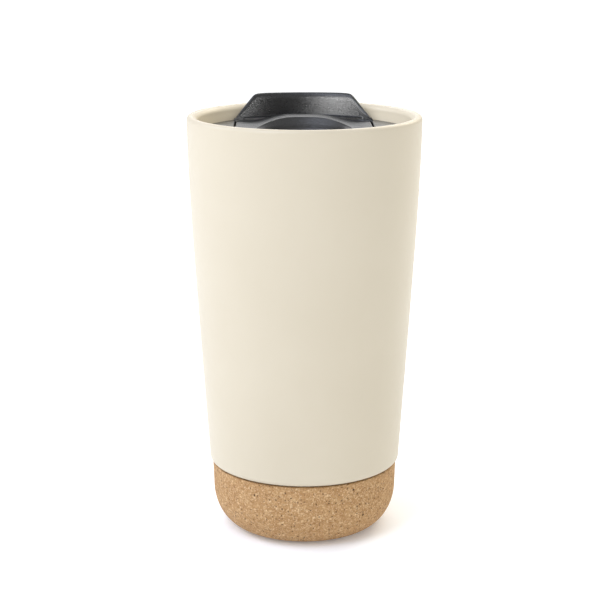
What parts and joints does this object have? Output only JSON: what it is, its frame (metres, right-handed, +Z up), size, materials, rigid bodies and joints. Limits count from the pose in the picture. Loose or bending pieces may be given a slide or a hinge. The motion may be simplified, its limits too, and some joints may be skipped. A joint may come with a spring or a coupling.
{
  "type": "travel cup",
  "caption": "Rigid double-wall ceramic travel cup with a cork base and a black press-in lid that has a raised drinking spout and a slide closure.",
  "frame": {"origin": "middle of the flat underside of the cork base, on the cup's axis, so the cup stands on z = 0", "axes": "+Z up along the cup's axis; +Y towards the drinking spout at the back of the lid; the slide opens towards -Y"},
  "size_m": [0.088, 0.088, 0.1643],
  "materials": {
    "cream_ceramic": "satin",
    "cork": "matte, granular",
    "foam_pad": "matte",
    "plug_silicone": "matte",
    "lid_plastic": "fine spark-eroded texture",
    "plug_plastic": "fine spark-eroded texture",
    "gasket_silicone": "matte",
    "slide_plastic": "fine spark-eroded texture",
    "seal_silicone": "matte"
  },
  "bodies": {
    "cup": {"ceramic_body": "cream_ceramic", "cork_base": "cork", "adhesive_pad": "foam_pad", "vent_plug": "plug_silicone"},
    "lid": {"lid_cover": "lid_plastic", "lid_base": "plug_plastic", "lid_gasket": "gasket_silicone"},
    "slide": {"slider": "slide_plastic", "slider_seal": "seal_silicone"}
  },
  "joints": [
    {"name": "lid_lift", "type": "slide", "parent": "cup", "child": "lid", "axis": [0, 0, 1], "range_m": [0, 0.06]},
    {"name": "slider_slide", "type": "slide", "parent": "lid", "child": "slide", "axis": [0, -1, 0], "range_m": [0, 0.008]}
  ]
}
